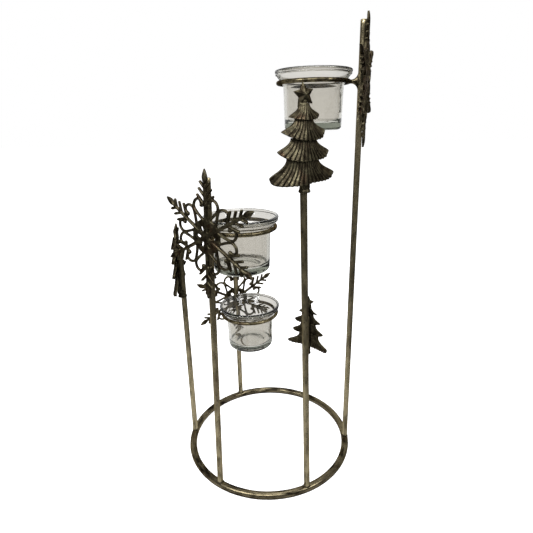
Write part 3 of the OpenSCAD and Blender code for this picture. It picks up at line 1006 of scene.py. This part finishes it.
def is_ray(tree, *kinds):
    """1 for the kinds of ray named, 0 for the rest."""
    path = tree.nodes.new("ShaderNodeLightPath")
    matches = path.outputs[kinds[0]]
    for kind in kinds[1:]:
        matches = calculated(tree, "MAXIMUM", matches, path.outputs[kind])
    return matches


def chosen(tree, fac, otherwise, shader):
    """The shader where fac is 1, and the other one where it is 0."""
    choice = tree.nodes.new("ShaderNodeMixShader")
    tree.links.new(fac, choice.inputs["Fac"])
    tree.links.new(otherwise, choice.inputs[1])
    tree.links.new(shader, choice.inputs[2])
    return choice.outputs[0]


def build_floor():
    corners = [(x * FLOOR_HALF, y * FLOOR_HALF, 0) for x, y in ((-1, -1), (1, -1), (1, 1), (-1, 1))]
    floor = new_object("floor", corners, [(0, 1, 2, 3)])
    material = bpy.data.materials.new("floor_paper")
    material.use_nodes = True
    tree = material.node_tree
    tree.nodes.clear()
    output = tree.nodes.new("ShaderNodeOutputMaterial")
    paper = tree.nodes.new("ShaderNodeBsdfDiffuse")
    paper.inputs["Color"].default_value = (0.8, 0.8, 0.8, 1)
    glow = tree.nodes.new("ShaderNodeEmission")
    glow.inputs["Strength"].default_value = 0.8
    glowing = tree.nodes.new("ShaderNodeAddShader")
    tree.links.new(paper.outputs[0], glowing.inputs[0])
    tree.links.new(glow.outputs[0], glowing.inputs[1])
    # Glass shows the floor as plain white, and metal mirrors it bright near the stand and dim further out
    white = tree.nodes.new("ShaderNodeEmission")
    mirrored = tree.nodes.new("ShaderNodeEmission")
    from_middle = vector_result(tree, "DISTANCE", plain_coordinates(tree), FLOOR_MIDDLE).outputs["Value"]
    brightness = stepped(tree, from_middle, BRIGHT_R, DIM_R, 1, DIM_FLOOR)
    tree.links.new(brightness, mirrored.inputs["Color"])
    seen = chosen(tree, is_ray(tree, "Is Camera Ray"), paper.outputs[0], glowing.outputs[0])
    seen = chosen(tree, is_ray(tree, "Is Glossy Ray"), seen, mirrored.outputs[0])
    seen = chosen(tree, is_ray(tree, "Is Transmission Ray"), seen, white.outputs[0])
    tree.links.new(seen, output.inputs["Surface"])
    floor.data.materials.append(material)


def build_world():
    """A white backdrop for the camera and through glass, and a grey room that lights the stand."""
    world = bpy.data.worlds.new("studio")
    bpy.context.scene.world = world
    world.use_nodes = True
    tree = world.node_tree
    room = tree.nodes["Background"]
    room.inputs["Color"].default_value = (0.45, 0.45, 0.45, 1)
    mirrored = tree.nodes.new("ShaderNodeBackground")
    direction = tree.nodes.new("ShaderNodeTexCoord").outputs["Generated"]
    brightness = stepped(tree, part_of_vector(tree, direction, "Y"), 0.0, 0.9, DIM_ROOM, 1)
    tree.links.new(brightness, mirrored.inputs["Color"])
    white = tree.nodes.new("ShaderNodeBackground")
    white.inputs["Color"].default_value = (1, 1, 1, 1)
    seen = chosen(tree, is_ray(tree, "Is Glossy Ray"), room.outputs[0], mirrored.outputs[0])
    seen = chosen(tree, is_ray(tree, "Is Camera Ray", "Is Transmission Ray"), seen, white.outputs[0])
    tree.links.new(seen, tree.nodes["World Output"].inputs["Surface"])


def area_light(name, place_m, size, watts):
    light = bpy.data.lights.new(name, "AREA")
    light.shape = "RECTANGLE"
    light.size, light.size_y = size
    light.energy = watts
    obj = bpy.data.objects.new(name, light)
    bpy.context.scene.collection.objects.link(obj)
    obj.location = place_m
    obj.rotation_euler = (Vector(LAMP_TARGET) - Vector(place_m)).to_track_quat("-Z", "Y").to_euler()
    # Glass would mirror the lamps inside itself as hard white dots, so they are off for rays that passed it
    light.use_nodes = True
    tree = light.node_tree
    depth = tree.nodes.new("ShaderNodeLightPath").outputs["Transmission Depth"]
    tree.links.new(stepped(tree, depth, 1, 0), tree.nodes["Emission"].inputs["Strength"])


def build_lights():
    for name, (place_m, size, watts) in LAMPS.items():
        area_light(name, place_m, size, watts)


def build_camera():
    camera = bpy.data.cameras.new("photo_camera")
    camera.sensor_width = SENSOR_WIDTH_MM
    camera.lens = CAMERA_FOCAL_PX * SENSOR_WIDTH_MM / IMAGE_WIDTH_PX
    camera.clip_start = 0.01
    camera.clip_end = 50
    obj = bpy.data.objects.new("photo_camera", camera)
    bpy.context.scene.collection.objects.link(obj)
    turn = Matrix.Rotation(math.radians(-CAMERA_HEADING), 4, "Z")
    tilt = Matrix.Rotation(math.radians(90 - CAMERA_PITCH), 4, "X")
    roll = Matrix.Rotation(math.radians(CAMERA_ROLL), 4, "Z")
    obj.matrix_world = Matrix.Translation(CAMERA_PLACE) @ turn @ tilt @ roll
    bpy.context.scene.camera = obj


build_camera()
build_stand()
build_ornaments()
build_cups()
build_floor()
build_world()
build_lights()
bpy.context.scene.view_settings.view_transform = "Standard"
